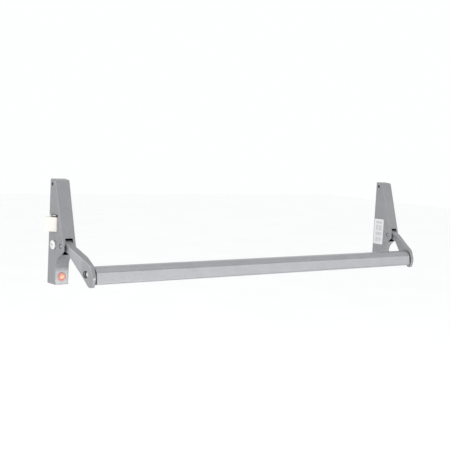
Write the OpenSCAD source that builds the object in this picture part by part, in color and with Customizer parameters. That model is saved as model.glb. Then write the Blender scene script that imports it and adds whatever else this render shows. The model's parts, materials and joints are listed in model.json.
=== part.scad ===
// Touch-release panic exit bar: a latch case and a plain case, two swinging arms and a push bar.
// X runs along the door, Y points into the door, Z is up. The origin lies on the door face, on the
// latch case's centre line, level with the arm pivots. "Out" is the distance from the door, -Y.

/* [Layout] */
// Distance between the centre lines of the two cases
case_spacing = 880; // [500:10:1200]
// How far the arm pivots stand out from the door
pivot_out = 45; // [44:0.5:46]
// How far the arms turn when the bar is pushed, in degrees
push_angle = 20; // [10:1:20]

/* [Cases] */
// Height of a case
case_height = 200; // [196:1:220]
// Height of the pivot above the bottom of a case
pivot_height = 76; // [76:1:78]
// Width of a case at the door
case_width = 31.2; // [31:0.1:33]
// Greatest depth of a case, level with the arm
case_depth = 58; // [57:0.5:62]
// Depth of a case at its top edge
top_depth = 18; // [17:0.5:22]
// Depth of the flat foot of a case
foot_depth = 28; // [27:0.5:30]
// Height on a case at which its front turns from the flat foot to the undercut
foot_height = 46; // [44:0.5:48]
// How much each side of a cover leans in, per mm of depth
side_draft = 0.038; // [0.02:0.002:0.04]
// Wall thickness of the die-cast covers
cover_wall = 2; // [1.6:0.1:2]

/* [Push bar and arms] */
// Wall thickness of the extruded push bar
bar_wall = 2.2; // [1.6:0.1:3]
// Thickness of the seal between the bar and an arm
gasket_thick = 3; // [1:0.5:4]
// Gap along the door from a case's centre line to the end of the bar
bar_inset = 20; // [20:1:24]
// Width of an arm at its pivot
arm_width = 15; // [13:0.5:15]

/* [Latch] */
// Height of the latch bolt
latch_height = 27; // [26:0.5:28]
// How far the latch bolt stands out of the side of the case
latch_throw = 13.5; // [13:0.5:15]
// How far the latch bolt is drawn in by the bar
latch_travel = 12.5; // [11:0.5:12.5]
// How far the deadlatch trigger can be pressed in
trigger_travel = 2.5; // [1.5:0.5:2.5]

/* [Fixings] */
// Radius of the holes for the door screws
mount_hole_r = 2.75; // [2:0.25:3]
// Spacing of the door screws along the door
mount_hole_x = 18; // [16:0.5:18]
// Spacing of the door screws up the door
mount_hole_z = 148; // [146:1:150]
// Height of the lower door screws, from the pivot
mount_hole_low = -50; // [-51:0.5:-49]

/* [Hidden] */
$fn = 64;
half_width = case_width / 2;
case_bottom = -pivot_height;
case_top = case_height - pivot_height;
far_x = case_spacing;

// Outline of a case seen from its side, as [out, up, corner radius]
case_outline = [
    [-10, case_bottom, 0],
    [foot_depth, case_bottom, 1.5],
    [foot_depth, case_bottom + foot_height, 22],
    [case_depth, -6.5, 5],
    [top_depth, case_top - 1.6, 3],
    [0, case_top, 0],
    [-10, case_top, 0]
];

// Notch in the front of a cover for the arm, as [along the door, up]: it flares below the pivot
notch_outline = [
    [-9.6, -17],
    [9.6, -17],
    [11.5, -6],
    [11.5, -1],
    [8, 4],
    [8, 15],
    [-8, 15],
    [-8, 4],
    [-11.5, -1],
    [-11.5, -6]
];

// Back plate and its folded cheeks
plate_thick = 3;
plate_half = half_width - cover_wall - 0.4;
plate_low = case_bottom + 2.6;
plate_high = case_top - 2.6;
cheek_in = 9;
cheek_out = 11.2;
seat_up = 22.8;
seat_back = 14;
seat_front = 27;
cheek_outline = [
    [plate_thick - 0.5, -34, 0],
    [34, -18, 6],
    [46, -9, 8],
    [pivot_out + 7, -2, 5],
    [pivot_out + 7, 8, 6],
    [36, 14, 8],
    [seat_front, seat_up + 2, 0],
    [seat_back, seat_up + 2, 0],
    [seat_back, -2, 3],
    [plate_thick - 0.5, -5, 0]
];

// Cover screws: one in each side near the top, one in the foot
side_screw_out = 7.4;
side_screw_up = case_top - 10;
lug_in = 8;
lug_out = 11;
foot_screw_out = 20;
foot_lug_up = case_bottom + 4.5;
boss_r = 4.2;
screw_r = 2;
screw_head_r = 3;
tap_gap = 0.02;

// Pivot pins, bushes and stops
pin_r = 4;
pin_half = 13.2;
run_gap = 0.06;
bush_r = 6;
hub_r = 11;
bush_flange = 1.1;
stop_out = 24;
stop_up = -7.4;
stop_pin_r = 2;
stop_sleeve_r = 4;

// Tail of an arm, and the lifter that rides on it
tail_reach = 25;
tail_half = 3;
tail_half_width = 4;
lift_travel = tail_reach * sin(push_angle);
lifter_back = 10;
lifter_front = 12;
lifter_low = -33;
lifter_high = 13;
foot_up = tail_half + 0.4;
foot_thick = 3;
stud_ups = [-2, -18];
stud_r = 2.5;

// Bell crank between the lifter and the latch bolt
crank_x = -1;
crank_up = 17;
crank_back = 5;
crank_front = 8.5;
crank_reach = 9;
crank_angle = atan(lift_travel / 2 / crank_reach);
finger_reach = latch_travel / 2 / sin(crank_angle);
finger_r = 2.2;
crank_stud_r = 3;
peg_r = 1.5;
peg_up = crank_up - lift_travel / 2 - (2 + peg_r) / cos(crank_angle) - 0.5;

// Latch bolt, deadlatch trigger and their guide
latch_low = 25.6;
latch_high = latch_low + latch_height;
latch_back = 4.8;
latch_front = 29.5;
latch_bevel = 10.7;
latch_tip = -half_width - latch_throw;
latch_end = -2;
seat_x = 10.8;
guide_low = seat_up + 2.3;
slot_x = crank_x - latch_travel / 2;
slot_half = finger_r + 1;
latch_spring_out = 14;
latch_spring_up = 44;
guide_screw_up = latch_high + 7.5;
trigger_low = latch_high + 1.7;
trigger_high = trigger_low + 2.2;
trigger_tip = -half_width - 3;
trigger_end = seat_x - 1.8 - trigger_travel;
trigger_spring_out = 12;
trigger_spring_up = trigger_high + 3.8;

// Slotted cam in the outer side of the latch case
cam_out = 19.5;
cam_r = 8.8;
cam_hub_r = 7.44;
cam_seat = 14.4;
cam_proud = 4.4;
cam_slope = 8;

// Push bar, as [out, up, corner radius]
bar_outline = [
    [98, -62.8, 4],
    [128, -62.8, 3.5],
    [124.8, -38.7, 2],
    [116, -31.5, 9],
    [98, -31.5, 4]
];
bar_start = bar_inset;
bar_end = case_spacing - bar_inset;
bar_screw_out = 109;
bar_screw_up = -45;
recess_r = 7;
recess_floor = 12.5;
bar_screw_r = 3;

// Side view of an arm, as [out, up, corner radius]
arm_outline = [
    [pivot_out, -8, 0],
    [50, -8, 0],
    [65, -14, 16],
    [117, -68.5, 9],
    [126, -68.5, 6],
    [130.5, -50, 12],
    [122, -28, 16],
    [48, hub_r, 0],
    [pivot_out, hub_r, 0]
];

// Top view of the left arm, as [along the door, out, corner radius]
arm_plan = [
    [-arm_width / 2, 30, 0],
    [arm_width / 2, 30, 0],
    [arm_width / 2, 64, 30],
    [bar_inset - gasket_thick, 96, 30],
    [bar_inset - gasket_thick, 140, 0],
    [11, 140, 0],
    [8.5, 121, 0],
    [3, 98, 40],
    [-arm_width / 2, 66, 40]
];

// Label and marker
label_low = -26;
label_high = 35;
label_back = 1.5;
label_front = 30.5;
marker_r = 8.5;
marker_up = case_bottom + 15;

// ---- Outlines with rounded corners ----

function flat(p) = [p.x, p.y];
function unit(v) = v / norm(v);

// The points of one corner b between a and c, rounded to the radius in b.z
function corner(a, b, c) =
    b.z == 0 ? [flat(b)] :
    let (
        u = unit(flat(a) - flat(b)),
        v = unit(flat(c) - flat(b)),
        half = acos(u * v) / 2,
        centre = flat(b) + unit(u + v) * b.z / sin(half),
        start = flat(b) + u * b.z / tan(half) - centre,
        sweep = (180 - 2 * half) * (cross(u, v) < 0 ? 1 : -1),
        steps = max(2, ceil(abs(sweep) / 9))
    )
    [for (i = [0:steps]) let (t = sweep * i / steps)
        centre + [start.x * cos(t) - start.y * sin(t), start.x * sin(t) + start.y * cos(t)]];

function rounded(outline) =
    let (n = len(outline))
    [for (i = [0:n - 1]) each corner(outline[(i + n - 1) % n], outline[i], outline[(i + 1) % n])];

// The outline moved inwards by d, for an outline that runs anticlockwise
function inset(outline, d) =
    let (n = len(outline))
    [for (i = [0:n - 1])
        let (
            b = outline[i],
            e = unit(flat(b) - flat(outline[(i + n - 1) % n])),
            f = unit(flat(outline[(i + 1) % n]) - flat(b)),
            m = [-e.y, e.x],
            k = [-f.y, f.x],
            p = flat(b) + (m + k) * d / (1 + m * k),
            r = b.z == 0 ? 0 : max(0.3, b.z - d * sign(cross(e, f)))
        )
        [p.x, p.y, r]];

// ---- Placing shapes ----

// Extrudes a shape drawn in (out, up) along the door
module along_x(from, to) {
    translate([to, 0, 0]) rotate([90, 0, -90]) linear_extrude(to - from) children();
}

// Extrudes a shape drawn in (along the door, out) upwards
module along_z(from, to) {
    translate([0, 0, from]) mirror([0, 1, 0]) linear_extrude(to - from) children();
}

// Extrudes a shape drawn in (along the door, up) away from the door
module along_out(from, to) {
    translate([0, -from, 0]) rotate([90, 0, 0]) linear_extrude(to - from) children();
}

module peg_x(out, up, from, to, r) {
    translate([from, -out, up]) rotate([0, 90, 0]) cylinder(h = to - from, r = r);
}

module peg_out(x, up, from, to, r) {
    translate([x, -from, up]) rotate([90, 0, 0]) cylinder(h = to - from, r = r);
}

module block(x, out, up) {
    translate([x[0], -out[1], up[0]]) cube([x[1] - x[0], out[1] - out[0], up[1] - up[0]]);
}

module both_sides() {
    children();
    mirror([1, 0, 0]) children();
}

// Draws the child for the left end of the bar and again, mirrored, for the right end
module both_ends() {
    children();
    right_end() children();
}

module right_end() {
    translate([far_x, 0, 0]) mirror([1, 0, 0]) children();
}

// A helical spring along +Z, as a round wire swept in rings
module coil(r, wire_r, length, turns) {
    steps = turns * 12;
    sides = 8;
    points = [for (i = [0:steps]) let (a = 360 * turns * i / steps)
        for (j = [0:sides - 1]) let (b = 360 * j / sides)
            [(r + wire_r * cos(b)) * cos(a), (r + wire_r * cos(b)) * sin(a),
                wire_r + (length - 2 * wire_r) * i / steps + wire_r * sin(b)]];
    walls = [for (i = [0:steps - 1]) for (j = [0:sides - 1]) let (k = (j + 1) % sides)
        [i * sides + j, (i + 1) * sides + j, (i + 1) * sides + k, i * sides + k]];
    near = [for (j = [0:sides - 1]) j];
    far = [for (j = [sides - 1:-1:0]) steps * sides + j];
    polyhedron(points, concat([near], walls, [far]));
}

// ---- Case parts, drawn around the case's own centre line ----

// A case's form: its side outline cut to the leaning sides, from the given distance outwards
module case_form(outline, half, back) {
    front = 80;
    intersection() {
        along_x(-half_width - 1, half_width + 1) polygon(rounded(outline));
        along_z(case_bottom - 5, case_top + 5) polygon([
            [-half + side_draft * back, back],
            [half - side_draft * back, back],
            [half - side_draft * front, front],
            [-half + side_draft * front, front]
        ]);
    }
}

module cover_shell() {
    difference() {
        union() {
            difference() {
                case_form(case_outline, half_width, 0);
                case_form(inset(case_outline, cover_wall), half_width - cover_wall, -1);
            }
            both_sides() peg_x(side_screw_out, side_screw_up, lug_out + 0.2, half_width - 1.5, boss_r);
            translate([0, -foot_screw_out, case_bottom + 1]) cylinder(h = 3, r = boss_r);
        }
        along_out(34, 70) polygon(notch_outline);
        peg_x(pivot_out, 0, -20, 20, pin_r + 0.5);
        both_sides() {
            peg_x(side_screw_out, side_screw_up, 5, 20, screw_r + 0.2);
            peg_x(side_screw_out, side_screw_up, 12.8, 20, screw_head_r + 0.3);
        }
        translate([0, -foot_screw_out, case_bottom - 1]) cylinder(h = 8, r = screw_r + 0.2);
        translate([0, -foot_screw_out, case_bottom - 1]) cylinder(h = 3.4, r = screw_head_r + 0.3);
    }
}

module backplate() {
    difference() {
        union() {
            along_out(0, plate_thick) polygon(rounded([
                [-plate_half, plate_low, 3],
                [plate_half, plate_low, 3],
                [plate_half, plate_high, 3],
                [-plate_half, plate_high, 3]
            ]));
            both_sides() {
                along_x(cheek_in, cheek_out) polygon(rounded(cheek_outline));
                block([lug_in, lug_out], [2, side_screw_out + 4.6], [side_screw_up - 5, side_screw_up + 5]);
            }
            block([-6, 6], [2, foot_screw_out + 5], [foot_lug_up, foot_lug_up + 3]);
            block([-cheek_out, cheek_out], [seat_back, seat_front], [seat_up, seat_up + 2]);
        }
        peg_x(pivot_out, 0, -20, 20, pin_r + tap_gap);
        peg_x(stop_out, stop_up, -20, 20, stop_pin_r + tap_gap);
        both_sides() peg_x(side_screw_out, side_screw_up, 5, 20, screw_r + tap_gap);
        translate([0, -foot_screw_out, foot_lug_up - 1]) cylinder(h = 5, r = screw_r + tap_gap);
        for (x = [-1, 1], up = [0, 1])
            peg_out(x * mount_hole_x / 2, mount_hole_low + up * mount_hole_z, -1, 5, mount_hole_r);
        for (up = stud_ups) peg_out(0, up, -1, 5, stud_r + tap_gap);
    }
}

// A cover screw with its head up, driven down from z = 0
module cover_screw(length) {
    difference() {
        union() {
            cylinder(h = 2, r = screw_head_r);
            translate([0, 0, -length]) cylinder(h = length, r = screw_r);
        }
        translate([0, 0, 0.9]) cylinder(h = 2, r = 1.45, $fn = 6);
    }
}

module cover_screws() {
    both_sides() translate([12.85, -side_screw_out, side_screw_up]) rotate([0, 90, 0]) cover_screw(6);
    translate([0, -foot_screw_out, case_bottom + 2.35]) rotate([180, 0, 0]) cover_screw(6);
}

module pivot_pin() {
    peg_x(pivot_out, 0, -pin_half, pin_half, pin_r);
}

module stop_pin() {
    peg_x(stop_out, stop_up, -cheek_out, cheek_out, stop_pin_r);
}

module stop_sleeve() {
    difference() {
        peg_x(stop_out, stop_up, -8.8, 8.8, stop_sleeve_r);
        peg_x(stop_out, stop_up, -9, 9, stop_pin_r + tap_gap);
    }
}

module lifter_studs() {
    for (up = stud_ups) {
        peg_out(0, up, 0.5, lifter_front + 0.5, stud_r);
        peg_out(0, up, lifter_front + 0.4, lifter_front + 1.8, 4.3);
    }
}

module return_spring() {
    from = foot_up + foot_thick + 0.1;
    translate([0, -20, from]) coil(3.8, 0.55, seat_up - 0.1 - from, 6);
}

// The stem, the foot that rests on the arm's tail, and the slots for the two studs
module lifter_stem() {
    slot = stud_r + run_gap;
    difference() {
        union() {
            along_out(lifter_back, lifter_front) polygon(rounded([
                [-5, lifter_low, 2],
                [5, lifter_low, 2],
                [5, lifter_high, 2],
                [-5, lifter_high, 2]
            ]));
            block([-5, 5], [lifter_back + 1, 26], [foot_up, foot_up + foot_thick]);
        }
        for (up = stud_ups) {
            block([-slot, slot], [lifter_back - 1, lifter_front + 1], [up - lift_travel - 0.2, up + 0.2]);
            for (end = [up - lift_travel - 0.2, up + 0.2])
                peg_out(0, end, lifter_back - 1, lifter_front + 1, slot);
        }
    }
}

module hub_bushes() {
    both_sides() difference() {
        union() {
            peg_x(pivot_out, 0, 1, arm_width / 2, bush_r);
            peg_x(pivot_out, 0, arm_width / 2, arm_width / 2 + bush_flange, bush_r + 2);
        }
        peg_x(pivot_out, 0, 0, 20, pin_r + run_gap);
    }
}

// ---- Arms and bar ----

module arm() {
    difference() {
        union() {
            intersection() {
                along_x(-30, 30) polygon(rounded(arm_outline));
                along_z(-90, 40) polygon(rounded(arm_plan));
            }
            peg_x(pivot_out, 0, -arm_width / 2, arm_width / 2, hub_r);
            along_x(-tail_half_width, tail_half_width) polygon(rounded([
                [pivot_out, -8, 0],
                [pivot_out, 8, 0],
                [pivot_out - 15, tail_half, 0],
                [pivot_out - tail_reach - tail_half, tail_half, tail_half - 0.1],
                [pivot_out - tail_reach - tail_half, -tail_half, tail_half - 0.1],
                [pivot_out - 15, -tail_half, 0]
            ]));
        }
        peg_x(pivot_out, 0, -20, 20, bush_r + tap_gap);
        peg_x(bar_screw_out, bar_screw_up, -20, recess_floor, recess_r);
        peg_x(bar_screw_out, bar_screw_up, 0, 30, bar_screw_r + 0.3);
    }
}

module bar_screw() {
    difference() {
        union() {
            peg_x(bar_screw_out, bar_screw_up, recess_floor - 3.7, recess_floor, 5);
            peg_x(bar_screw_out, bar_screw_up, recess_floor - 0.1, bar_start + 20, bar_screw_r);
        }
        translate([recess_floor - 5, -bar_screw_out, bar_screw_up])
            rotate([0, 90, 0]) cylinder(h = 3.5, r = 2.9, $fn = 6);
    }
}

module bar_end_plug() {
    difference() {
        along_x(bar_start + 0.5, bar_start + 24) polygon(rounded(inset(bar_outline, bar_wall + 0.05)));
        peg_x(bar_screw_out, bar_screw_up, 0, 60, bar_screw_r + tap_gap);
    }
}

module bar_gasket() {
    difference() {
        along_x(bar_start - gasket_thick, bar_start) polygon(rounded(inset(bar_outline, 0.3)));
        peg_x(bar_screw_out, bar_screw_up, 0, 60, bar_screw_r + 0.3);
    }
}

// ---- Nodes of the latch case ----

module active_backplate() {
    color("silver") difference() {
        backplate();
        peg_out(crank_x, crank_up, -1, 5, crank_stud_r + tap_gap);
        for (x = [-6, 6]) peg_out(x, guide_screw_up, -1, 5, 1.5 + tap_gap);
    }
}

module active_cover() {
    color("darkgray") difference() {
        cover_shell();
        block([-20, -8], [-1, latch_front + 0.9], [latch_low - 0.4, trigger_high + 0.5]);
        peg_x(cam_out, 0, -20, -cam_seat, cam_r + 0.3);
        peg_x(cam_out, 0, -20, -5, cam_hub_r + run_gap);
    }
}

module active_cover_screws() {
    color("dimgray") cover_screws();
}

module active_pivot_pin() {
    color("lightgray") pivot_pin();
}

module active_stop_pin() {
    color("lightgray") stop_pin();
}

module active_stop_sleeve() {
    color("black") stop_sleeve();
}

module active_lifter_studs() {
    color("lightgray") lifter_studs();
}

module active_return_spring() {
    color("gray") return_spring();
}

// The lifter of the latch case also carries the peg that turns the bell crank
module active_lifter() {
    peg_x_at = crank_x - crank_reach;
    color("lightsteelblue") union() {
        lifter_stem();
        block([peg_x_at - peg_r, -4], [lifter_back, lifter_front], [peg_up - 5, lifter_high]);
        peg_out(peg_x_at, peg_up, crank_back - 0.3, lifter_back + 1, peg_r);
    }
}

module active_hub_bushes() {
    color("goldenrod") hub_bushes();
}

module latch_bolt() {
    color("ivory") difference() {
        along_z(latch_low, latch_high) polygon(rounded([
            [latch_tip, latch_back, 1],
            [latch_end, latch_back, 0],
            [latch_end, latch_front, 0],
            [-half_width, latch_front, 2],
            [latch_tip, latch_front - latch_bevel, 3]
        ]));
        block([slot_x - slot_half, slot_x + slot_half], [0, crank_front + 0.5],
            [0, crank_up + finger_reach + finger_r + 0.6]);
        block([slot_x - slot_half - 0.8, slot_x + slot_half + 0.8], [0, crank_front + 0.5], [0, latch_low + 3]);
        peg_x(latch_spring_out, latch_spring_up, latch_tip + 5, 0, 4.5);
    }
}

module latch_spring() {
    from = latch_tip + 5.2;
    color("gray") translate([from, -latch_spring_out, latch_spring_up])
        rotate([0, 90, 0]) coil(3.4, 0.45, seat_x - 0.1 - from, 12);
}

// Bracket that holds the latch bolt against the back plate and takes the springs' thrust
module latch_guide() {
    top = guide_screw_up + 4.5;
    color("silver") difference() {
        union() {
            along_x(seat_x, seat_x + 1.1) polygon([
                [plate_thick, guide_low],
                [latch_front + 1.8, guide_low],
                [latch_front + 1.8, latch_high],
                [26, top],
                [plate_thick, top]
            ]);
            block([-12, seat_x + 0.5], [latch_front + 0.5, latch_front + 1.8], [latch_low + 2.5, latch_high]);
            block([6, seat_x + 0.5], [plate_thick, 4.4], [guide_low, top]);
            block([-11, seat_x + 0.5], [plate_thick, 4.4], [latch_high + 2.5, top]);
        }
        for (x = [-6, 6]) peg_out(x, guide_screw_up, 0, 6, 1.7);
    }
}

module latch_guide_screws() {
    color("dimgray") for (x = [-6, 6]) difference() {
        union() {
            peg_out(x, guide_screw_up, 0.3, 4.5, 1.5);
            peg_out(x, guide_screw_up, 4.4, 6.2, 2.8);
        }
        block([x - 3, x + 3], [5.4, 7], [guide_screw_up - 0.4, guide_screw_up + 0.4]);
    }
}

// Bell crank: the short arm is lifted by the lifter's peg, the finger draws the latch bolt in
module latch_crank() {
    short_reach = crank_reach + 0.5;
    color("slategray") difference() {
        union() {
            peg_out(crank_x, crank_up, crank_back, crank_front, 5);
            translate([crank_x, 0, crank_up]) rotate([0, -crank_angle, 0]) {
                block([-1.3, 1.3], [crank_back, crank_front], [0, finger_reach]);
                peg_out(0, finger_reach, crank_back, crank_front, finger_r);
                block([-short_reach, 0], [crank_back, crank_front], [-2, 2]);
                peg_out(-short_reach, 0, crank_back, crank_front, 2);
            }
        }
        peg_out(crank_x, crank_up, 0, 20, crank_stud_r + run_gap);
    }
}

module crank_stud() {
    color("lightgray") union() {
        peg_out(crank_x, crank_up, 0.5, crank_front + 0.3, crank_stud_r);
        peg_out(crank_x, crank_up, plate_thick, crank_back - 0.2, 4.5);
        peg_out(crank_x, crank_up, crank_front + 0.2, crank_front + 1, 4.5);
    }
}

module deadlatch_trigger() {
    color("dimgray") difference() {
        union() {
            along_z(trigger_low, trigger_high) polygon(rounded([
                [trigger_tip, latch_back, 1],
                [trigger_end - 1, latch_back, 0],
                [trigger_end - 1, latch_front - 3, 0],
                [-half_width, latch_front - 3, 1],
                [trigger_tip, latch_front - 6, 2]
            ]));
            block([trigger_end - 10, trigger_end], [8, 16], [trigger_low, trigger_high + 7.5]);
        }
        peg_x(trigger_spring_out, trigger_spring_up, trigger_end - 9, trigger_end + 1, 2.8);
    }
}

module trigger_spring() {
    from = trigger_end - 8.8;
    color("gray") translate([from, -trigger_spring_out, trigger_spring_up])
        rotate([0, 90, 0]) coil(2.1, 0.35, seat_x - 0.1 - from, 10);
}

module side_cam() {
    face = -cam_seat - cam_proud;
    color("gainsboro") difference() {
        union() {
            peg_x(cam_out, 0, face, -cam_seat - 0.1, cam_r);
            peg_x(cam_out, 0, -cam_seat - 0.2, -12, cam_hub_r);
        }
        translate([0, -cam_out, 0]) rotate([cam_slope, 0, 0])
            block([face - 1, face + 1.4], [-6.2, 6.2], [-1.2, 1.2]);
    }
}

module marker_disc() {
    color("orangered") difference() {
        peg_out(0, marker_up, foot_depth, foot_depth + 0.8, marker_r);
        peg_out(0, marker_up, foot_depth + 0.5, foot_depth + 1, 4.6);
    }
}

// ---- Nodes of the plain case ----

module idler_backplate() {
    color("silver") translate([far_x, 0, 0]) backplate();
}

module idler_cover() {
    color("darkgray") translate([far_x, 0, 0]) cover_shell();
}

module idler_cover_screws() {
    color("dimgray") translate([far_x, 0, 0]) cover_screws();
}

module idler_pivot_pin() {
    color("lightgray") translate([far_x, 0, 0]) pivot_pin();
}

module idler_stop_pin() {
    color("lightgray") translate([far_x, 0, 0]) stop_pin();
}

module idler_stop_sleeve() {
    color("black") translate([far_x, 0, 0]) stop_sleeve();
}

module idler_lifter_studs() {
    color("lightgray") translate([far_x, 0, 0]) lifter_studs();
}

module idler_return_spring() {
    color("gray") translate([far_x, 0, 0]) return_spring();
}

module idler_lifter() {
    color("lightsteelblue") translate([far_x, 0, 0]) lifter_stem();
}

module idler_hub_bushes() {
    color("goldenrod") translate([far_x, 0, 0]) hub_bushes();
}

// A blank label on the leaning side of the plain case
module idler_label() {
    lean = atan(side_draft);
    color("white") translate([far_x - half_width - 0.01, 0, 0]) rotate([0, 0, lean])
        block([-0.3, 0], [label_back, label_front], [label_low, label_high]);
}

// ---- Nodes of the bar ----

module left_arm() {
    color("darkgray") arm();
}

module right_arm() {
    color("darkgray") right_end() arm();
}

module push_bar() {
    color("lightgray") along_x(bar_start, bar_end) difference() {
        polygon(rounded(bar_outline));
        polygon(rounded(inset(bar_outline, bar_wall)));
    }
}

module bar_end_plugs() {
    color("dimgray") both_ends() bar_end_plug();
}

module bar_gaskets() {
    color("black") both_ends() bar_gasket();
}

module bar_screws() {
    color("gainsboro") both_ends() bar_screw();
}

active_backplate();
active_cover();
active_cover_screws();
active_pivot_pin();
active_stop_pin();
active_stop_sleeve();
active_lifter_studs();
active_return_spring();
active_lifter();
active_hub_bushes();
latch_bolt();
latch_spring();
latch_guide();
latch_guide_screws();
latch_crank();
crank_stud();
deadlatch_trigger();
trigger_spring();
side_cam();
marker_disc();
idler_backplate();
idler_cover();
idler_cover_screws();
idler_pivot_pin();
idler_stop_pin();
idler_stop_sleeve();
idler_lifter_studs();
idler_return_spring();
idler_lifter();
idler_hub_bushes();
idler_label();
left_arm();
right_arm();
push_bar();
bar_end_plugs();
bar_gaskets();
bar_screws();
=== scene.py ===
"""Looks of the panic exit bar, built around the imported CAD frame.

Lengths in this script are in millimetres until place() turns them into the frame's metres.
"out" is the distance from the door, which is -Y in the frame.
"""

import json
import math

import bmesh
import bpy
from mathutils import Matrix, Vector


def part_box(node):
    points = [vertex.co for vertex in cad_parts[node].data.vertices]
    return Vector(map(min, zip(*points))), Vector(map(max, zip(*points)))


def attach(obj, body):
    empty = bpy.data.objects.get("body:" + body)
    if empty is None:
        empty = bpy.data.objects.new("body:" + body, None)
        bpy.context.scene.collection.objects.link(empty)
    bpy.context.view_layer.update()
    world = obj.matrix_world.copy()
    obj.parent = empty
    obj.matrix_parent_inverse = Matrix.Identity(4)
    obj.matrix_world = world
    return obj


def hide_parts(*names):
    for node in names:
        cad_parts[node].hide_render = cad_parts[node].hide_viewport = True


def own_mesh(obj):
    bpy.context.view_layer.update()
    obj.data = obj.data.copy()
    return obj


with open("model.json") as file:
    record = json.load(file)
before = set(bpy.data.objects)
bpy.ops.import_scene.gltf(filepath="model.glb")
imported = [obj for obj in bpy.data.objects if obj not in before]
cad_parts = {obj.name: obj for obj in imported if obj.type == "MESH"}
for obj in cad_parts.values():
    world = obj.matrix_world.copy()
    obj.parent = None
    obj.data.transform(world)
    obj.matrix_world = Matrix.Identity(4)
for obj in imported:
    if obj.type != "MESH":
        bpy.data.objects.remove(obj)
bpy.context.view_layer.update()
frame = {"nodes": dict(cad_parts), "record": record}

MM = 0.001
FAR_X = 880.0
CENTRES = {"active": 0.0, "idler": FAR_X}

# The cases, each measured from its own centre line
CASE_LOW, CASE_HIGH = -76, 124
HALF_WIDTH = 15.6
DRAFT = 0.038
WALL = 2.0
PIVOT_OUT = 45.0
PIN_HALF = 13.2
SIDE_SCREW = (7.4, 114)
FOOT_SCREW_OUT = 20
HEAD_R, SHANK_R = 3.3, 2.2
LATCH_LOW, LATCH_HIGH, LATCH_FRONT = 25.2, 57.0, 30.4
CAM_OUT = 19.5
CAM_SEAT = 14.4
CAM_SLOPE = 8.0
MARKER_UP = -61

CASE_OUTLINE = [
    (-10, CASE_LOW, 0), (28, CASE_LOW, 1.5), (28, -30, 22), (58, -6.5, 5), (18, 122.4, 3),
    (0, CASE_HIGH, 0), (-10, CASE_HIGH, 0),
]
NOTCH = [
    (-9.6, -17, 0.8), (9.6, -17, 0.8), (11.5, -6, 2.2), (11.5, -1, 2.2), (8, 4, 3), (8, 15, 0.8),
    (-8, 15, 0.8), (-8, 4, 3), (-11.5, -1, 2.2), (-11.5, -6, 2.2),
]
ARM_OUTLINE = [
    (45, -8, 0), (50, -8, 0), (65, -14, 16), (117, -68.5, 9), (126, -68.5, 6),
    (130.5, -50, 12), (122, -28, 16), (48, 11, 0), (45, 11, 0),
]
ARM_PLAN = [
    (-7.5, 30, 0), (7.5, 30, 0), (7.5, 64, 30), (17, 96, 30), (17, 140, 0), (11, 140, 0),
    (8.5, 121, 0), (3, 98, 40), (-7.5, 66, 40),
]
BAR_OUTLINE = [
    (98, -62.8, 4), (128, -62.8, 3.5), (124.8, -38.7, 2), (116, -31.5, 9), (98, -31.5, 4),
]
# The same section with the fine groove that runs along under its upper edge
BAR_GROOVED = [
    (98, -62.8, 4), (128, -62.8, 3.5), (125.03, -40.4, 0.35), (123.9, -40.1, 0.25),
    (123.6, -39.0, 0.25), (124.2, -38.2, 0.35), (116, -31.5, 9), (98, -31.5, 4),
]
BAR_START = 20.0
BAR_END = FAR_X - BAR_START
BAR_SCREW = (109, -45)
RECESS_FLOOR = 12.5


# ---- Outlines ----

def unit(v):
    return v / v.length


def corner(before, at, after, step):
    """The points of one rounded corner; at is (u, v, radius)."""
    b, r = Vector(at[:2]), at[2]
    if r == 0:
        return [b]
    u, v = unit(Vector(before[:2]) - b), unit(Vector(after[:2]) - b)
    half = math.acos(max(-1, min(1, u.dot(v)))) / 2
    centre = b + unit(u + v) * (r / math.sin(half))
    start = b + u * (r / math.tan(half)) - centre
    sweep = (math.pi - 2 * half) * (1 if u.cross(v) < 0 else -1)
    count = max(2, math.ceil(abs(math.degrees(sweep)) / step - 1e-6))
    points = []
    for i in range(count + 1):
        t = sweep * i / count
        c, s = math.cos(t), math.sin(t)
        points.append(centre + Vector((start.x * c - start.y * s, start.x * s + start.y * c)))
    return points


def rounded(outline, step=7.5):
    n = len(outline)
    points = []
    for i in range(n):
        points += corner(outline[i - 1], outline[i], outline[(i + 1) % n], step)
    return points


def inset(outline, d):
    """The anticlockwise outline moved inwards by d."""
    n = len(outline)
    moved = []
    for i in range(n):
        b, r = Vector(outline[i][:2]), outline[i][2]
        e = unit(b - Vector(outline[i - 1][:2]))
        f = unit(Vector(outline[(i + 1) % n][:2]) - b)
        m, k = Vector((-e.y, e.x)), Vector((-f.y, f.x))
        p = b + (m + k) * (d / (1 + m.dot(k)))
        turn = 1 if e.cross(f) > 0 else -1
        moved.append((p.x, p.y, 0 if r == 0 else max(0.25, r - d * turn)))
    return moved


# ---- Solids ----

def place(x, out, up):
    return Vector((x, -out, up)) * MM


def side(u, v, w):
    """(out, up) drawn in the side view, w along the door."""
    return place(w, u, v)


def plan(u, v, w):
    """(along the door, out) drawn in the plan, w up."""
    return place(u, v, w)


def front(u, v, w):
    """(along the door, up) drawn in the front view, w out."""
    return place(u, w, v)


def solid(name, points, faces):
    mesh = bpy.data.meshes.new(name)
    mesh.from_pydata([tuple(p) for p in points], [], faces)
    work = bmesh.new()
    work.from_mesh(mesh)
    bmesh.ops.recalc_face_normals(work, faces=work.faces)
    work.to_mesh(mesh)
    work.free()
    obj = bpy.data.objects.new(name, mesh)
    bpy.context.scene.collection.objects.link(obj)
    return obj


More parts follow.
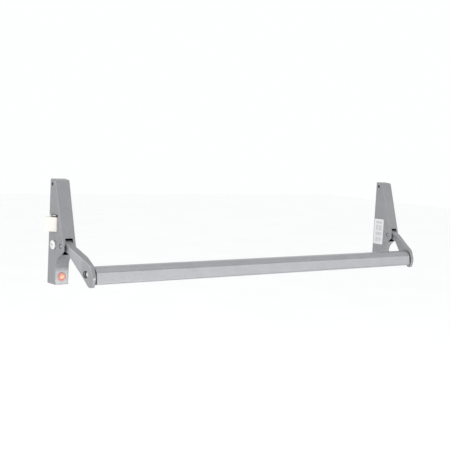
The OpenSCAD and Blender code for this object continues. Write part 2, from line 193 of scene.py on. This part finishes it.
def loft(name, rings):
    """Closed rings of equal length, joined in order, with an end face at each end."""
    n = len(rings[0])
    points = [p for ring in rings for p in ring]
    faces = []
    for i in range(len(rings) - 1):
        a, b = i * n, (i + 1) * n
        faces += [(a + j, a + (j + 1) % n, b + (j + 1) % n, b + j) for j in range(n)]
    faces += [tuple(range(n))[::-1], tuple(range(len(points) - n, len(points)))]
    return solid(name, points, faces)


def prism(name, outline, view, low, high):
    return loft(name, [[view(p[0], p[1], w) for p in outline] for w in (low, high)])


def turned(name, profile, axis, x, out, up, sides=48):
    """A turned solid: profile is (radius, along) from end to end, closed on the axis."""
    rings = []
    for r, a in profile:
        ring = []
        for i in range(sides):
            t = 2 * math.pi * i / sides
            u, v = r * math.cos(t), r * math.sin(t)
            ring.append({
                "x": lambda: place(x + a, out + u, up + v),
                "out": lambda: place(x + u, out + a, up + v),
                "up": lambda: place(x + u, out + v, up + a),
            }[axis]())
        rings.append(ring)
    return loft(name, rings)


def evaluated(obj):
    """Applies the object's modifiers to its mesh."""
    graph = bpy.context.evaluated_depsgraph_get()
    mesh = bpy.data.meshes.new_from_object(obj.evaluated_get(graph))
    obj.modifiers.clear()
    obj.data = mesh
    return obj


def combine(obj, other, operation="DIFFERENCE", solver="EXACT"):
    mod = obj.modifiers.new("combine", "BOOLEAN")
    mod.operation, mod.object, mod.solver = operation, other, solver
    evaluated(obj)
    bpy.data.objects.remove(other)
    return obj


def cut(obj, *others, solver="EXACT"):
    for other in others:
        combine(obj, other, "DIFFERENCE", solver)
    return obj


def join(name, parts):
    """One object from several, each keeping its own shell."""
    work = bmesh.new()
    for part in parts:
        work.from_mesh(part.data)
        bpy.data.objects.remove(part)
    mesh = bpy.data.meshes.new(name)
    work.to_mesh(mesh)
    work.free()
    obj = bpy.data.objects.new(name, mesh)
    bpy.context.scene.collection.objects.link(obj)
    return obj


def soften(obj, width=0.35, segments=2, angle=32, dissolve=True):
    """Rounds the sharp edges, and smooths the shading of what is round."""
    work = bmesh.new()
    work.from_mesh(obj.data)
    bmesh.ops.remove_doubles(work, verts=work.verts, dist=2e-6)
    if dissolve:
        bmesh.ops.dissolve_limit(
            work, angle_limit=math.radians(0.6), use_dissolve_boundaries=False,
            verts=work.verts, edges=work.edges,
        )
    work.to_mesh(obj.data)
    work.free()
    if width:
        mod = obj.modifiers.new("round", "BEVEL")
        mod.width, mod.segments, mod.limit_method = width * MM, segments, "ANGLE"
        mod.angle_limit, mod.use_clamp_overlap, mod.miter_outer = math.radians(angle), True, "MITER_ARC"
        evaluated(obj)
    obj.data.polygons.foreach_set("use_smooth", [True] * len(obj.data.polygons))
    obj.data.set_sharp_from_angle(angle=math.radians(50))
    mod = obj.modifiers.new("shade", "WEIGHTED_NORMAL")
    mod.keep_sharp, mod.weight = True, 50
    return evaluated(obj)


def shift(obj, x):
    obj.data.transform(Matrix.Translation((x * MM, 0, 0)))
    return obj


def mirrored(obj, name):
    """A mirror image of the object about the plane halfway between the two cases."""
    mesh = obj.data.copy()
    mesh.transform(Matrix.Translation((FAR_X * MM, 0, 0)) @ Matrix.Scale(-1, 4, (1, 0, 0)))
    mesh.flip_normals()
    copy = bpy.data.objects.new(name, mesh)
    bpy.context.scene.collection.objects.link(copy)
    return copy


# ---- Materials ----

class Nodes:
    """A material's node tree, with short calls for the nodes that the finishes share."""

    def __init__(self, name):
        self.material = bpy.data.materials.new(name)
        self.material.use_nodes = True
        self.tree = self.material.node_tree
        self.shader = self.tree.nodes["Principled BSDF"]
        self.coords = self.add("ShaderNodeTexCoord").outputs["Object"]

    def add(self, kind, **inputs):
        node = self.tree.nodes.new(kind)
        for key, value in inputs.items():
            socket = node.inputs[key.replace("_", " ")]
            if hasattr(value, "is_linked"):
                self.tree.links.new(value, socket)
            else:
                socket.default_value = value
        return node

    def link(self, output, socket):
        self.tree.links.new(output, socket)

    def set(self, **sockets):
        for key, value in sockets.items():
            self.shader.inputs[key.replace("_", " ")].default_value = value

    def stretched(self, x, y, z):
        node = self.add("ShaderNodeMapping", Vector=self.coords)
        node.inputs["Scale"].default_value = (x, y, z)
        return node.outputs["Vector"]

    def noise(self, size, detail=2.0, roughness=0.5, vector=None):
        """Noise whose features are about size millimetres across."""
        node = self.add(
            "ShaderNodeTexNoise", Vector=vector or self.coords, Scale=1 / (size * MM),
            Detail=detail, Roughness=roughness,
        )
        return node.outputs["Fac"]

    def ramp(self, value, *stops):
        node = self.add("ShaderNodeValToRGB", Fac=value)
        elements = node.color_ramp.elements
        while len(elements) < len(stops):
            elements.new(0.5)
        for element, (position, colour) in zip(elements, stops):
            element.position = position
            element.color = (*colour, 1) if isinstance(colour, tuple) else (colour, colour, colour, 1)
        return node.outputs["Color"]

    def map(self, value, low, high, start=0.3, end=0.7):
        node = self.add("ShaderNodeMapRange", Value=value)
        node.inputs["From Min"].default_value = start
        node.inputs["From Max"].default_value = end
        node.inputs["To Min"].default_value = low
        node.inputs["To Max"].default_value = high
        return node.outputs["Result"]

    def mix(self, factor, a, b, blend="MIX"):
        node = self.tree.nodes.new("ShaderNodeMix")
        node.data_type, node.blend_type = "RGBA", blend
        for socket, value in ((node.inputs[0], factor), (node.inputs[6], a), (node.inputs[7], b)):
            if hasattr(value, "is_linked"):
                self.tree.links.new(value, socket)
            else:
                socket.default_value = value
        return node.outputs[2]

    def bump(self, height, depth, strength=1.0):
        """Bump of that depth in millimetres."""
        node = self.add("ShaderNodeBump", Height=height, Strength=strength, Distance=depth * MM)
        self.link(node.outputs["Normal"], self.shader.inputs["Normal"])

    def finish(self, colour, rough):
        self.link(colour, self.shader.inputs["Base Color"])
        self.link(rough, self.shader.inputs["Roughness"])
        return self.material


def grey(value, tint=(1.0, 1.0, 1.0)):
    return tuple(value * t for t in tint)


def paint(name, level, rough=0.42):
    """Powder coat: a bluish silver with fine metallic flakes, slight clouding and orange peel."""
    n = Nodes(name)
    cool = (0.985, 0.99, 1.03)
    flake = n.add("ShaderNodeTexVoronoi", Vector=n.coords, Scale=1 / (0.55 * MM))
    spark = n.ramp(
        flake.outputs["Color"],
        (0.0, grey(0.80 * level, cool)), (0.55, grey(level, cool)), (1.0, grey(1.24 * level, cool)),
    )
    cloud = n.ramp(n.noise(26, 3.0), (0.30, 0.93), (0.70, 1.0))
    n.set(Metallic=0.5, Coat_Weight=0.12, Coat_Roughness=0.25)
    n.bump(n.noise(0.9, 3.0, 0.6), 0.05, 0.55)
    dull = n.map(n.noise(3.0, 3.0), rough - 0.05, rough + 0.06)
    return n.finish(n.mix(1.0, spark, cloud, "MULTIPLY"), dull)


def steel(name, level, along=(1, 1, 1), rough=0.32, tint=(1.0, 1.0, 1.0), patch=0.86):
    """Bright metal with fine drawn lines along the long direction, and duller patches."""
    n = Nodes(name)
    lines = n.noise(0.18, 3.0, 0.6, n.stretched(*along))
    colour = n.ramp(lines, (0.25, grey(0.86 * level, tint)), (0.75, grey(1.05 * level, tint)))
    stain = n.ramp(n.noise(9.0, 4.0, 0.6), (0.35, patch), (0.65, 1.0))
    n.set(Metallic=1.0)
    n.bump(lines, 0.012, 0.5)
    dull = n.map(n.noise(4.0, 4.0), rough - 0.07, rough + 0.10)
    return n.finish(n.mix(1.0, colour, stain, "MULTIPLY"), dull)


def moulded(name, light, dark, rough, grain=0.35, depth=0.02):
    """Moulded plastic or rubber: a slight change of colour with the flow, and a fine spark-eroded grain."""
    n = Nodes(name)
    flow = n.noise(7.0, 4.0, 0.55, n.stretched(0.4, 1, 1))
    n.bump(n.noise(grain, 2.0, 0.6), depth, 0.6)
    dull = n.map(n.noise(1.5, 3.0), rough - 0.05, rough + 0.08)
    return n.finish(n.ramp(flow, (0.3, dark), (0.7, light)), dull)


def marker_finish():
    """Orange plug: a deep orange rim and a paler centre, with a scatter of fine specks."""
    n = Nodes("marker_orange")
    centre = place(0, 0, MARKER_UP)
    local = n.add("ShaderNodeVectorMath", Vector=n.coords)
    local.operation = "MULTIPLY_ADD"
    local.inputs[1].default_value = (1, 0, 1)
    local.inputs[2].default_value = (-centre.x, 0, -centre.z)
    length = n.add("ShaderNodeVectorMath", Vector=local.outputs["Vector"])
    length.operation = "LENGTH"
    ring = n.ramp(
        n.map(length.outputs["Value"], 0.0, 1.0, 0.0, 0.010),
        (0.0, (0.84, 0.26, 0.08)), (0.36, (0.80, 0.23, 0.07)), (0.48, (0.36, 0.05, 0.015)),
        (0.80, (0.38, 0.06, 0.02)), (0.90, (0.46, 0.10, 0.04)),
    )
    specks = n.ramp(n.noise(0.5, 2.0), (0.35, 0.88), (0.65, 1.0))
    n.set(Coat_Weight=0.4, Coat_Roughness=0.12)
    n.bump(n.noise(0.4, 2.0), 0.01, 0.5)
    return n.finish(n.mix(1.0, ring, specks, "MULTIPLY"), n.map(n.noise(2.0), 0.28, 0.40))


# Blank blocks on the label: low, high, start and end, up and out
LABEL_BLOCKS = [
    (24, 30, 6, 26), (7, 21, 7, 15), (7, 21, 17, 25), (-5, 4, 6, 26), (-21, -8, 7, 15), (-19, -9, 17, 25),
]


def label_finish():
    """White film with faint blank grey blocks, as an unfilled form has."""
    n = Nodes("label_white")
    split = n.add("ShaderNodeSeparateXYZ", Vector=n.coords)

    def band(axis, low, high):
        """1 between two places along an axis, in millimetres, and 0 outside them."""
        node = n.add("ShaderNodeMath", Value=split.outputs[axis])
        node.operation = "COMPARE"
        node.inputs[1].default_value = (low + high) / 2 * MM
        node.inputs[2].default_value = (high - low) / 2 * MM
        return node.outputs[0]

    def both(a, b, operation="MULTIPLY"):
        node = n.tree.nodes.new("ShaderNodeMath")
        node.operation = operation
        n.link(a, node.inputs[0])
        n.link(b, node.inputs[1])
        return node.outputs[0]

    blocks = None
    for low, high, start, end in LABEL_BLOCKS:
        block = both(band("Y", -end, -start), band("Z", low, high))
        blocks = block if blocks is None else both(blocks, block, "MAXIMUM")
    fibre = n.ramp(n.noise(0.8, 3.0), (0.3, (0.55, 0.55, 0.56)), (0.7, (0.62, 0.62, 0.62)))
    ink = n.ramp(n.noise(1.6, 2.0), (0.3, (0.40, 0.40, 0.41)), (0.7, (0.49, 0.49, 0.50)))
    n.set(Coat_Weight=0.25, Coat_Roughness=0.2)
    n.bump(n.noise(1.2, 2.0), 0.01, 0.4)
    return n.finish(n.mix(blocks, fibre, ink), n.map(n.noise(3.0), 0.34, 0.46))


FINISH = {
    "cover_paint": paint("cover_paint", 0.25),
    "arm_paint": paint("arm_paint", 0.255, rough=0.40),
    "bar_paint": paint("bar_paint", 0.295, rough=0.38),
    # Painted shade: this pressed steel is darkened so the cheeks seen through the notch stand in for the shade
    # inside it.
    "plate_steel": steel("plate_steel", 0.20, (1, 1, 0.05), 0.46, (1.0, 1.0, 1.02)),
    "pin_steel": steel("pin_steel", 0.36, (0.05, 1, 1), 0.36),
    "lever_steel": steel("lever_steel", 0.45, (1, 1, 0.08), 0.40, (0.97, 0.99, 1.04)),
    "spring_steel": steel("spring_steel", 0.42, (1, 1, 1), 0.34, (1.0, 0.99, 0.97)),
    "screw_black": steel("screw_black", 0.09, (1, 1, 1), 0.38, (1.0, 1.0, 1.05)),
    "screw_bright": steel("screw_bright", 0.96, (0.3, 1, 1), 0.34, (1.0, 1.0, 0.99), 0.94),
    "cam_bright": steel("cam_bright", 0.96, (1, 0.12, 1), 0.30, (1.0, 0.995, 0.985), 0.90),
    "latch_nylon": moulded("latch_nylon", (0.70, 0.685, 0.64), (0.66, 0.645, 0.60), 0.36),
    "trigger_steel": steel("trigger_steel", 0.48, (0.1, 1, 1), 0.36),
    # Painted shade: the hub bushes are darkened to a blackened brown so that they stand in for the shade
    # inside the notch.
    "bush_bronze": steel("bush_bronze", 0.13, (1, 1, 1), 0.48, (1.0, 0.78, 0.52)),
    "rubber_black": moulded("rubber_black", (0.035, 0.035, 0.038), (0.022, 0.022, 0.024), 0.55, 0.25, 0.03),
    "plug_zinc": steel("plug_zinc", 0.50, (1, 1, 1), 0.45),
    "marker_orange": marker_finish(),
    "label_white": label_finish(),
}
SLOTS = {s["node"]: s["material_slot"] for s in frame["record"]["subparts"]}
BODY = {n: b for b, members in frame["record"]["behaviour"]["bodies"].items() for n in members}


def stand_for(obj, node):
    """The piece takes a CAD node's place, body and finish."""
    obj.data.materials.clear()
    obj.data.materials.append(FINISH[SLOTS[node]])
    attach(obj, BODY[node])
    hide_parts(node)
    return obj


# ---- Cases ----

def case_rings(outline, half, edge, steps=5):
    """Open rings over a case's form, from one leaning side over its rounded edges to the other."""
    rings = []
    for sign in (-1, 1):
        turns = range(steps + 1) if sign < 0 else range(steps, -1, -1)
        for k in turns:
            t = math.pi / 2 * k / steps
            d = edge * (1 - math.sin(t))
            points = rounded(inset(outline, d))[1:-2]
            low, high = points[0].copy(), points[-1].copy()
            low.x = high.x = 0
            low.y, high.y = outline[0][1] + d, outline[-1][1] - d
            ring = []
            for p in [low, *points, high]:
                reach = half - DRAFT * p.x - edge + edge * math.cos(t)
                ring.append((sign * reach, p.x, p.y))
            rings.append(ring)
    return rings


def case_form(name, outline, half, edge, back=0.0):
    rings = case_rings(outline, half, edge)
    n = len(rings[0])
    if back:
        for ring in rings:
            for j in (0, n - 1):
                ring[j] = (ring[j][0], back, ring[j][2])
    points = [place(*p) for ring in rings for p in ring]
    faces = []
    for i in range(len(rings) - 1):
        a, b = i * n, (i + 1) * n
        faces += [(a + j, a + j + 1, b + j + 1, b + j) for j in range(n - 1)]
    last = (len(rings) - 1) * n
    faces += [tuple(range(n)), tuple(range(last, last + n))]
    starts = [i * n for i in range(len(rings))]
    faces.append((*starts, *[i + n - 1 for i in reversed(starts)]))
    return solid(name, points, faces)


def side_hole(out, up, sign, profile):
    """A turned cutter in a side of a case, as (radius, distance from the centre line)."""
    return turned("cutter", [(r, sign * a) for r, a in profile], "x", 0, out, up)


def cover(kind):
    shell = case_form("case_cover_" + kind, CASE_OUTLINE, HALF_WIDTH, 1.5)
    wide = HALF_WIDTH + 0.5
    face = [(-wide, CASE_LOW, 1.6), (wide, CASE_LOW, 1.6), (wide, CASE_HIGH, 2.8), (-wide, CASE_HIGH, 2.8)]
    combine(shell, prism("frame", rounded(face), front, -5, 90), "INTERSECT")
    cut(shell, case_form("cavity", inset(CASE_OUTLINE, WALL), HALF_WIDTH - WALL, 0.8, -1.0))
    for sign in (-1, 1):
        boss = turned("boss", [(4.2, sign * 11.2), (4.2, sign * 14.1)], "x", 0, *SIDE_SCREW)
        combine(shell, boss, "UNION")
    combine(shell, turned("boss", [(4.2, -75), (4.2, -72)], "up", 0, FOOT_SCREW_OUT, 0), "UNION")
    cut(shell, prism("notch", rounded(NOTCH), front, 34, 70))
    for sign in (-1, 1):
        cut(
            shell,
            side_hole(PIVOT_OUT, 0, sign, [(4.5, 8), (4.5, 20)]),
            side_hole(*SIDE_SCREW, sign, [(SHANK_R, 5), (SHANK_R, 12.8), (HEAD_R, 12.8), (HEAD_R, 20)]),
        )
    foot_hole = [(HEAD_R, -78), (HEAD_R, -73.6), (SHANK_R, -73.6), (SHANK_R, -69)]
    cut(shell, turned("cutter", foot_hole, "up", 0, FOOT_SCREW_OUT, 0))
    if kind == "active":
        window = [
            (-1, LATCH_LOW, 0), (LATCH_FRONT, LATCH_LOW, 1.2),
            (LATCH_FRONT, LATCH_HIGH, 1.2), (-1, LATCH_HIGH, 0),
        ]
        cut(
            shell,
            prism("window", rounded(window), side, -20, -8),
            side_hole(CAM_OUT, 0, -1, [(7.5, 5), (7.5, CAM_SEAT), (9.1, CAM_SEAT), (9.1, 20)]),
        )
    soften(shell, 0.4, 2)
    shift(shell, CENTRES[kind])
    return stand_for(shell, kind + "_cover")


def socket_screw(name, head_r, head_h, length, shank_r, key, dome):
    """A screw pointing down with its head above z = 0: rounded head, hexagon socket and chamfered point."""
    profile = [
        (shank_r * 0.7, -length), (shank_r, -length + shank_r * 0.35), (shank_r, 0), (head_r, 0),
        (head_r, head_h * 0.6), (head_r - dome * 0.4, head_h - dome * 0.5), (head_r - dome * 1.6, head_h),
    ]
    screw = turned(name, profile, "up", 0, 0, 0, 40)
    hexagon = turned("key", [(key, head_h * 0.4), (key, head_h + 1)], "up", 0, 0, 0, 6)
    cut(screw, hexagon)
    return soften(screw, min(0.16, dome), 2, 40)


def turn_to(direction):
    """The turn that takes a piece made along +Z to a direction."""
    return Vector((0, 0, 1)).rotation_difference(Vector(direction)).to_matrix().to_4x4()


def aimed(obj, direction, spot):
    """Turns a piece made along +Z to a direction, and puts its origin at a place."""
    obj.data.transform(Matrix.Translation(place(*spot)) @ turn_to(direction))
    return obj


def cover_screws(kind):
    x = CENTRES[kind]
    places = [((sign, 0, 0), (x + sign * 12.85, *SIDE_SCREW)) for sign in (-1, 1)]
    places.append(((0, 0, -1), (x, FOOT_SCREW_OUT, -73.65)))
    parts = [aimed(socket_screw("screw", 3.0, 2.0, 6.0, 1.95, 1.45, 0.5), *spot) for spot in places]
    return stand_for(join("socket_screws_" + kind, parts), kind + "_cover_screws")


def pivot_pin(kind):
    end = [(4.0, 12.5), (3.3, PIN_HALF), (1.9, PIN_HALF), (1.2, 12.6)]
    profile = [(r, -a) for r, a in reversed(end)] + end
    pin = turned("pin_" + kind, profile, "x", CENTRES[kind], PIVOT_OUT, 0, 56)
    return stand_for(soften(pin, 0.12, 2, 30), kind + "_pivot_pin")


def dressed(node, width, segments=2):
    """A CAD node with its sharp edges broken, as a pressed or machined part has."""
    obj = bpy.data.objects.new("fine_" + node, frame["nodes"][node].data.copy())
    bpy.context.scene.collection.objects.link(obj)
    return stand_for(soften(obj, width, segments), node)


# ---- Springs ----

def spring(name, radius, wire, length, turns):
    """A compression spring along +Z whose end turns are wound closer, as 0.18 of the pitch between them."""
    sides, steps = 10, 26
    total = int(turns * steps)
    climbed = [0.0]
    for i in range(total):
        t = (i + 0.5) / steps
        opening = max(0.0, min(1.0, (min(t, turns - t) - 0.6) / 0.4))
        climbed.append(climbed[-1] + 0.18 + 0.82 * opening)
    rings = []
    for i in range(total + 1):
        a = 2 * math.pi * i / steps
        z = wire + (length - 2 * wire) * climbed[i] / climbed[-1]
        ring = []
        for j in range(sides):
            b = 2 * math.pi * j / sides
            r = radius + wire * math.cos(b)
            ring.append(Vector((r * math.cos(a), r * math.sin(a), z + wire * math.sin(b))) * MM)
        rings.append(ring)
    obj = loft(name, rings)
    return soften(obj, 0, dissolve=False)


def fitted_spring(name, node, radius, wire, turns, direction):
    low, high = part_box(node)
    middle = (low + high) / 2
    axis = Vector(direction)
    length = (high - low).dot(axis) / MM
    obj = spring(name, radius, wire, length, turns)
    start = middle - axis * (length / 2 * MM)
    obj.data.transform(Matrix.Translation(start) @ turn_to(direction))
    stand_for(obj, node)
    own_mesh(obj)


# ---- Arms and bar ----

def arm_casting():
    """The left arm: its two views crossed, joined to the hub and tail, then rounded over as a casting is."""
    body = prism("arm_casting_left", rounded(ARM_OUTLINE, 5), side, -30, 30)
    combine(body, prism("plan", rounded(ARM_PLAN, 5), plan, -90, 40), "INTERSECT")
    combine(body, turned("hub", [(11, -7.5), (11, 7.5)], "x", 0, PIVOT_OUT, 0, 72), "UNION")
    tail = [(45, -8, 0), (45, 8, 0), (30, 3, 0), (17, 3, 2.9), (17, -3, 2.9), (30, -3, 0)]
    combine(body, prism("tail", rounded(tail), side, -4, 4), "UNION")
    mod = body.modifiers.new("cast", "REMESH")
    mod.mode, mod.voxel_size, mod.adaptivity = "VOXEL", 0.75 * MM, 0.0
    mod = body.modifiers.new("flow", "SMOOTH")
    mod.factor, mod.iterations = 0.5, 16
    evaluated(body)
    bore = [(7.6, -9), (6.9, -7.5), (6.02, -6.9), (6.02, 6.9), (6.9, 7.5), (7.6, 9)]
    recess = [(7.0, -20), (7.0, RECESS_FLOOR - 0.4), (6.6, RECESS_FLOOR), (3.3, RECESS_FLOOR), (3.3, 30)]
    cut(
        body,
        turned("bore", bore, "x", 0, PIVOT_OUT, 0, 64),
        turned("recess", recess, "x", 0, *BAR_SCREW, 64),
        solver="MANIFOLD",
    )
    return soften(body, 0, dissolve=False)


def push_bar():
    outer = [rounded(inset(BAR_GROOVED, d), 6) for d in (0.5, 0.15, 0.0)]
    inner = rounded(inset(BAR_OUTLINE, 2.2), 6)
    ends = [(0, BAR_START), (1, BAR_START + 0.2), (2, BAR_START + 0.6)]
    stations = ends + [(k, BAR_START + BAR_END - x) for k, x in reversed(ends)]
    rings = [[side(p.x, p.y, x) for p in outer[k]] for k, x in stations]
    bar = loft("bar_extrusion", rings)
    cut(bar, prism("hollow", inner, side, BAR_START - 5, BAR_END + 5))
    return stand_for(soften(bar, 0, dissolve=False), "push_bar")


def gasket(name):
    """The rubber seal at one end of the bar, with a rounded rim that stands just proud of it."""
    rings = []
    thick = 3.0
    for k in range(9):
        t = math.pi * k / 8
        d = 0.3 + 0.9 * (1 - math.sin(t))
        x = BAR_START - thick / 2 - thick / 2 * math.cos(t)
        rings.append([side(p.x, p.y, x) for p in rounded(inset(BAR_OUTLINE, d), 6)])
    obj = loft(name, rings)
    return cut(obj, turned("hole", [(3.3, -5), (3.3, 30)], "x", 0, *BAR_SCREW))


def bar_screw():
    screw = socket_screw("bar_screw", 5.0, 3.7, 27.3, 3.0, 2.9, 0.7)
    return aimed(screw, (-1, 0, 0), (RECESS_FLOOR, *BAR_SCREW))


for kind in CENTRES:
    cover(kind)
    cover_screws(kind)
    pivot_pin(kind)
    dressed(kind + "_backplate", 0.35)
    dressed(kind + "_stop_pin", 0.3)
    dressed(kind + "_stop_sleeve", 0.4)
    dressed(kind + "_lifter_studs", 0.25)
    dressed(kind + "_lifter", 0.25)
    dressed(kind + "_hub_bushes", 0.2)
    fitted_spring(
        "return_spring_" + kind, kind + "_return_spring", 3.8, 0.55, 6.5, (0, 0, 1),
    )

for node, width in (
    ("latch_bolt", 0.9), ("latch_guide", 0.2), ("latch_guide_screws", 0.15), ("latch_crank", 0.25),
    ("crank_stud", 0.25), ("deadlatch_trigger", 0.25), ("bar_end_plugs", 0.3),
):
    dressed(node, width, 3 if node == "latch_bolt" else 2)

fitted_spring("latch_return_spring", "latch_spring", 3.4, 0.45, 12, (1, 0, 0))
fitted_spring(
    "trigger_return_spring", "trigger_spring", 2.1, 0.35, 11, (1, 0, 0),
)

arm = arm_casting()
far_arm = mirrored(arm, "arm_casting_right")
stand_for(arm, "left_arm")
stand_for(far_arm, "right_arm")
push_bar()
near_seal = gasket("seal")
seals = join("bar_seals", [mirrored(near_seal, "far_seal"), near_seal])
stand_for(soften(seals, 0, dissolve=False), "bar_gaskets")
near_screw = bar_screw()
stand_for(join("bar_socket_screws", [mirrored(near_screw, "far_screw"), near_screw]), "bar_screws")


def cam():
    """The slotted cam: a chamfered head with a dished face, and a slot cut across it."""
    profile = [
        (3.0, -18.35), (5.8, -18.4), (6.6, -18.8), (7.6, -18.8), (8.8, -17.6), (8.8, -14.75), (8.6, -14.5),
        (7.44, -14.5), (7.44, -12.2), (7.2, -12.0),
    ]
    disc = turned("slotted_cam", profile, "x", 0, CAM_OUT, 0, 72)
    slope = Matrix.Rotation(-math.radians(CAM_SLOPE), 2)
    slot = [(-6.4, -1.5, 1.1), (6.4, -1.5, 1.1), (6.4, 1.5, 1.1), (-6.4, 1.5, 1.1)]
    slot = [slope @ p for p in rounded(slot)]
    cut(disc, prism("slot", [(p.x + CAM_OUT, p.y) for p in slot], side, -20, -15.4))
    return stand_for(soften(disc, 0.15, 2, 30), "side_cam")


def marker():
    """The orange plug: a raised rim round a slightly domed centre."""
    profile = [
        (8.5, 28.0), (8.5, 28.4), (8.2, 28.7), (7.6, 28.8), (5.2, 28.8), (4.7, 28.7), (4.4, 28.5), (3.0, 28.6),
        (1.2, 28.65),
    ]
    plug = turned("marker_plug", profile, "out", 0, 0, MARKER_UP, 64)
    return stand_for(soften(plug, 0, dissolve=False), "marker_disc")


def label():
    outline = [(1.5, -26, 1.2), (30.5, -26, 1.2), (30.5, 35, 1.2), (1.5, 35, 1.2)]
    film = prism("blank_label", rounded(outline), side, -0.3, 0.0)
    soften(film, 0.1, 2)
    lean = Matrix.Rotation(math.atan(DRAFT), 4, "Z")
    film.data.transform(Matrix.Translation(((FAR_X - HALF_WIDTH - 0.01) * MM, 0, 0)) @ lean)
    return stand_for(film, "idler_label")


cam()
marker()
label()


# ---- Floor, light and camera ----

def floor():
    size, drop = 12.0, -0.9
    corners = [(-size, -size, drop), (size, -size, drop), (size, size, drop), (-size, size, drop)]
    obj = solid("floor", corners, [(0, 1, 2, 3)])
    n = Nodes("floor_pale")
    n.set(Specular_IOR_Level=0.2)
    shade = n.ramp(n.noise(400, 2.0), (0.3, 0.965), (0.7, 0.98))
    obj.data.materials.append(n.finish(shade, n.map(n.noise(200), 0.8, 0.9)))


def area_light(name, position, target, size, power):
    data = bpy.data.lights.new(name, "AREA")
    data.shape, data.energy = "RECTANGLE", power
    data.size, data.size_y = size
    obj = bpy.data.objects.new(name, data)
    obj.location = position
    obj.rotation_euler = (Vector(target) - Vector(position)).to_track_quat("-Z", "Y").to_euler()
    bpy.context.scene.collection.objects.link(obj)


def studio():
    world = bpy.data.worlds.new("studio")
    world.use_nodes = True
    light = world.node_tree.nodes["Background"]
    light.inputs["Color"].default_value = (0.99, 0.995, 1.0, 1)
    light.inputs["Strength"].default_value = 1.0
    bpy.context.scene.world = world
    area_light("key", (2.5, -2.7, 0.1), (0.5, 0, 0), (2.0, 0.75), 9)
    area_light("low", (0.9, -2.5, -0.62), (0.0, 0, -0.06), (1.2, 0.45), 24)
    area_light("front", (-0.6, -2.8, -0.25), (0.2, 0, -0.05), (2.0, 0.8), 6)
    area_light("above", (0.4, -0.5, 2.4), (0.4, 0, 0), (2.4, 0.9), 8)
    area_light("left", (-2.4, 0.3, 0.4), (0.3, 0, 0), (1.6, 1.6), 29)
    bpy.context.scene.view_settings.view_transform = "Standard"


def camera():
    """The photo's angle, found by fitting its straight edges: angles in radians, places in metres."""
    yaw, pitch, roll = 0.651, 0.098, 0.051
    sight = Vector((math.sin(yaw) * math.cos(pitch), math.cos(yaw) * math.cos(pitch), -math.sin(pitch)))
    level = Vector((math.cos(yaw), -math.sin(yaw), 0))
    upright = Vector((math.sin(yaw) * math.sin(pitch), math.cos(yaw) * math.sin(pitch), math.cos(pitch)))
    right = level * math.cos(roll) + upright * math.sin(roll)
    top = upright * math.cos(roll) - level * math.sin(roll)
    data = bpy.data.cameras.new("camera")
    data.lens, data.sensor_width = 76.8, 36
    obj = bpy.data.objects.new("camera", data)
    pose = Matrix((right, top, -sight)).transposed().to_4x4()
    pose.translation = (-0.851, -1.648, 0.231)
    obj.matrix_world = pose
    bpy.context.scene.collection.objects.link(obj)
    bpy.context.scene.camera = obj


floor()
studio()
camera()
